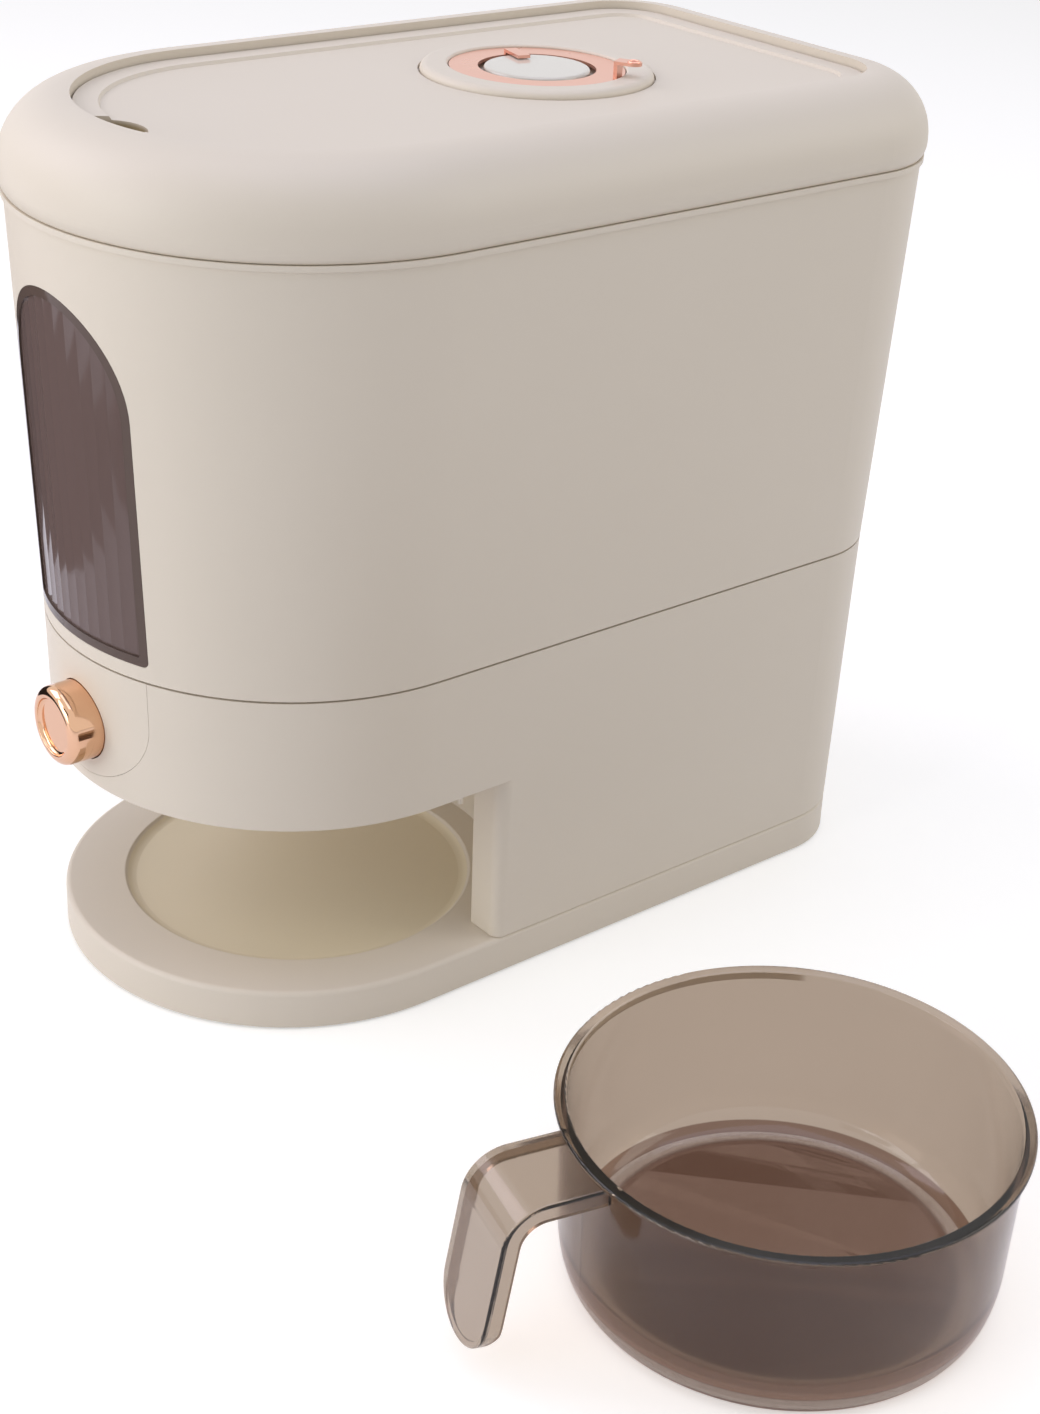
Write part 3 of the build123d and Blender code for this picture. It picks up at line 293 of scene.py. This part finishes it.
# The place on the piece as three numbers, counted from the given middle
def placeOn(tree, middle=(0, 0, 0)):
    where = tree.nodes.new("ShaderNodeTexCoord")
    shift = tree.nodes.new("ShaderNodeMapping")
    shift.inputs["Location"].default_value = [-c for c in middle]
    tree.links.new(where.outputs["Object"], shift.inputs["Vector"])
    apart = tree.nodes.new("ShaderNodeSeparateXYZ")
    tree.links.new(shift.outputs["Vector"], apart.inputs["Vector"])
    return apart.outputs


# 1 nearer than the radius and 0 past it, with a soft edge just inside the radius
softEdge = 0.0006


def withinRadius(tree, first, second, radius):
    squares = [reckon(tree, "POWER", side, 2.0) for side in (first, second)]
    distance = reckon(tree, "SQRT", reckon(tree, "ADD", *squares))
    return spread(tree, distance, 1.0, 0.0, radius - softEdge, radius, True)


# Roughness that follows a pattern between the finish's two levels
def roughen(tree, shader, pattern, values):
    level = spread(tree, pattern, values["roughLow"], values["roughHigh"])
    tree.links.new(level, shader.inputs["Roughness"])


def addBump(tree, shader, height, strength, distance):
    bump = tree.nodes.new("ShaderNodeBump")
    bump.inputs["Strength"].default_value = strength
    bump.inputs["Distance"].default_value = distance
    tree.links.new(height, bump.inputs["Height"])
    tree.links.new(bump.outputs["Normal"], shader.inputs["Normal"])


creamPlastic = {
    "light": (0.715, 0.640, 0.530, 1),
    "dark": (0.690, 0.615, 0.503, 1),
    "clouds": 9.0,
    "cloudDetail": 3.0,
    "grain": 2600.0,
    "grainDepth": 0.00008,
    "grainStrength": 0.25,
    "roughLow": 0.42,
    "roughHigh": 0.56,
    "coat": 0.0,
}

# The dial's middle is paler and polished
discPlastic = dict(creamPlastic)
discPlastic["light"] = (0.60, 0.56, 0.475, 1)
discPlastic["dark"] = (0.58, 0.54, 0.46, 1)
discPlastic["coat"] = 1.0

# Painted shade in hollows: a dark olive shade in the finger notch and a yellower painted bounce
# light in the cup's recess
paintedHollowShades = {
    # the finger notch's dark olive is painted shade
    "flapCream": {
        "middle": (0, -0.1456, 0),
        "radius": 0.0155,
        "plain": 0.3210,
        "full": 0.3190,
        "shadeTone": (0.33, 0.255, 0.135, 1),
    },
    # the recess's yellower tone is painted light bouncing in the shade under the overhang
    "baseCream": {
        "middle": (0, -0.0695, 0),
        "radius": 0.0680,
        "plain": 0.0160,
        "full": 0.0148,
        "shadeTone": (0.745, 0.655, 0.475, 1),
    },
}


# Moulded plastic with a faint spark-eroded grain and slow changes of shade, and painted shade in a
# hollow when one is given
def makeMouldedPlastic(name, values, hollowShade=None):
    material, tree, shader = startMaterial(name)
    clouds = surfacePattern(tree, values["clouds"], values["cloudDetail"])
    shade = blendColors(tree, clouds, values["dark"], values["light"])
    if hollowShade:
        # Painted shade: inside the hollow's radius and below its plain level the colour turns to
        # the shade tone
        x, y, z = placeOn(tree, hollowShade["middle"])
        near = withinRadius(tree, x, y, hollowShade["radius"])
        deep = spread(tree, z, 1.0, 0.0, hollowShade["full"], hollowShade["plain"], True)
        shade = blendColors(tree, reckon(tree, "MULTIPLY", near, deep), shade, hollowShade["shadeTone"])
    tree.links.new(shade, shader.inputs["Base Color"])
    shader.inputs["Coat Weight"].default_value = values["coat"]
    grain = surfacePattern(tree, values["grain"])
    roughen(tree, shader, grain, values)
    addBump(tree, shader, grain, values["grainStrength"], values["grainDepth"])
    return material


roseGoldPlating = {
    "color": (0.765, 0.465, 0.295, 1),
    "waves": 60.0,
    "waveDepth": 0.0004,
    "waveStrength": 0.1,
    "roughLow": 0.05,
    "roughHigh": 0.12,
}

# The dial's ring is duller and redder than the button
satinRoseGold = dict(roseGoldPlating)
satinRoseGold["color"] = (0.76, 0.42, 0.325, 1)
satinRoseGold["roughLow"] = 0.24
satinRoseGold["roughHigh"] = 0.34


# Plated plastic, a mirror or satin finish that waves a little over the moulding
def makeRoseGold(name, values):
    material, tree, shader = startMaterial(name)
    shader.inputs["Base Color"].default_value = values["color"]
    shader.inputs["Metallic"].default_value = 1.0
    waves = surfacePattern(tree, values["waves"])
    roughen(tree, shader, waves, values)
    addBump(tree, shader, waves, values["waveStrength"], values["waveDepth"])
    return material


smokyCupPlastic = {
    "wallTint": (0.435, 0.345, 0.272, 1),
    # the floor's tint is partly the plastic seen through the thick floor and partly painted shadow
    # on the table under the cup
    "floorTintAndShadow": (0.088, 0.038, 0.023, 1),
    "floorTop": 0.0031,
    "wallStart": 0.0036,
    "waves": 35.0,
    "roughLow": 0.08,
    "roughHigh": 0.14,
    "clearness": 1.0,
    "lightBending": 1.4,
}


# Lets some lamp light through tinted plastic to what is behind it
def letLightThrough(tree, shader, tint):
    path = tree.nodes.new("ShaderNodeLightPath")
    film = tree.nodes.new("ShaderNodeBsdfTransparent")
    root = tree.nodes.new("ShaderNodeGamma")
    root.inputs["Gamma"].default_value = 0.5  # light crosses two faces in each wall
    tree.links.new(tint, root.inputs["Color"])
    tree.links.new(root.outputs[0], film.inputs["Color"])
    mix = tree.nodes.new("ShaderNodeMixShader")
    tree.links.new(path.outputs["Is Shadow Ray"], mix.inputs[0])
    tree.links.new(shader.outputs[0], mix.inputs[1])
    tree.links.new(film.outputs[0], mix.inputs[2])
    tree.links.new(mix.outputs[0], tree.nodes["Material Output"].inputs["Surface"])


# Tint, clearness and a slightly wavy gloss, which the cup and the window share
def fillSmoky(tree, shader, values, tint):
    tree.links.new(tint, shader.inputs["Base Color"])
    shader.inputs["Transmission Weight"].default_value = values["clearness"]
    shader.inputs["IOR"].default_value = values["lightBending"]
    roughen(tree, shader, surfacePattern(tree, values["waves"], 1.0), values)
    letLightThrough(tree, shader, tint)


# Clear tinted plastic, darker in its thick floor, partly for the thickness and partly as painted
# shadow under the cup
def makeSmokyCup(name, values):
    material, tree, shader = startMaterial(name)
    z = placeOn(tree)[2]
    height = spread(tree, z, 0.0, 1.0, values["floorTop"], values["wallStart"], True)
    tint = blendColors(tree, height, values["floorTintAndShadow"], values["wallTint"])
    fillSmoky(tree, shader, values, tint)
    return material


smokyWindowPlastic = {
    "tint": (0.189, 0.132, 0.117, 1),
    "borderTint": (0.150, 0.105, 0.085, 1),
    "waves": 35.0,
    "roughLow": 0.05,
    "roughHigh": 0.09,
    "clearness": 0.3,
    "lightBending": 1.27,
    "axisY": -0.072,  # the round front turns about this line
    "halfWidth": 0.0341,
    "archSpring": 0.2340,
    "lowEdge": 0.1474,
    "fluteTurn": 0.0660,
    "fluteDepth": 0.00012,
}


# Dark glossy plastic with upright flutes inside a plain border
def makeSmokyWindow(name, values):
    material, tree, shader = startMaterial(name)
    x, y, z = placeOn(tree, (0, values["axisY"], 0))
    above = reckon(tree, "MAXIMUM", reckon(tree, "SUBTRACT", z, values["archSpring"]), 0.0)
    inside = withinRadius(tree, x, above, values["halfWidth"])
    low = values["lowEdge"]
    higher = spread(tree, z, 0.0, 1.0, low, low + softEdge, True)
    field = reckon(tree, "MULTIPLY", inside, higher)
    fillSmoky(tree, shader, values, blendColors(tree, field, values["borderTint"], values["tint"]))
    turn = reckon(tree, "ARCTAN2", x, reckon(tree, "MULTIPLY", y, -1.0))
    count = reckon(tree, "ADD", reckon(tree, "DIVIDE", turn, values["fluteTurn"]), 0.5)
    across = reckon(tree, "SUBTRACT", reckon(tree, "FRACT", count), 0.5)
    depth = 4 * values["fluteDepth"]  # across is 0.5 at a flute's edge, and its square 0.25
    scallop = reckon(tree, "MULTIPLY", reckon(tree, "POWER", across, 2.0), depth)
    addBump(tree, shader, reckon(tree, "MULTIPLY", scallop, field), 1.0, 1.0)
    return material


plainFinishes = {
    "zincSteel": {
        "color": (0.62, 0.62, 0.63, 1),
        "metal": 1.0,
        "roughLow": 0.25,
        "roughHigh": 0.4,
        "grain": 900.0,
        "grainDepth": 0.00003,
    },
    "softRubber": {
        "color": (0.45, 0.42, 0.38, 1),
        "metal": 0.0,
        "roughLow": 0.7,
        "roughHigh": 0.85,
        "grain": 1500.0,
        "grainDepth": 0.00006,
    },
    "paleSilicone": {
        "color": (0.75, 0.74, 0.70, 1),
        "metal": 0.0,
        "roughLow": 0.5,
        "roughHigh": 0.62,
        "grain": 1200.0,
        "grainDepth": 0.00004,
    },
    "whiteNylon": {
        "color": (0.80, 0.79, 0.76, 1),
        "metal": 0.0,
        "roughLow": 0.35,
        "roughHigh": 0.48,
        "grain": 1600.0,
        "grainDepth": 0.00005,
    },
}
plainGrainStrength = 0.3


# One color with a fine grain, for what is mostly hidden
def makePlainFinish(name, values):
    material, tree, shader = startMaterial(name)
    shader.inputs["Base Color"].default_value = values["color"]
    shader.inputs["Metallic"].default_value = values["metal"]
    grain = surfacePattern(tree, values["grain"])
    roughen(tree, shader, grain, values)
    addBump(tree, shader, grain, plainGrainStrength, values["grainDepth"])
    return material


cream = makeMouldedPlastic("creamPlastic", creamPlastic)
flapCream = makeMouldedPlastic("flapCream", creamPlastic, paintedHollowShades["flapCream"])
baseCream = makeMouldedPlastic("baseCream", creamPlastic, paintedHollowShades["baseCream"])
discCream = makeMouldedPlastic("discCream", discPlastic)
roseGold = makeRoseGold("roseGoldPlating", roseGoldPlating)
ringGold = makeRoseGold("satinRoseGold", satinRoseGold)
smokyCup = makeSmokyCup("smokyCupPlastic", smokyCupPlastic)
smokyWindow = makeSmokyWindow("smokyWindowPlastic", smokyWindowPlastic)
steel, rubber, silicone, nylon = [
    makePlainFinish(name, values) for name, values in plainFinishes.items()
]

partFinish = {
    "base_plate": baseCream,
    "bottom_cover": cream,
    "lower_housing": cream,
    "button_panel": cream,
    "upper_bin": cream,
    "top_frame": cream,
    "hopper": cream,
    "flap_lid": flapCream,
    "flap_liner": cream,
    "dial_bezel": cream,
    "dial_disc": discCream,
    "dial_ring": ringGold,
    "button_cap": roseGold,
    "window_panel": smokyWindow,
    "measuring_cup": smokyCup,
    "gate_plunger": nylon,
    "gate_slide": nylon,
    "gate_frame": nylon,
    "outlet_chute": nylon,
    "foot_pads": rubber,
    "lid_seal": silicone,
    "return_spring": steel,
    "base_screws": steel,
    "cover_screws": steel,
    "gate_screws": steel,
    "hinge_pins": steel,
    "dial_screw": steel,
}
for partName, finish in partFinish.items():
    for slot in parts[partName].material_slots:
        slot.material = finish
print("materials on", len(partFinish), "parts")
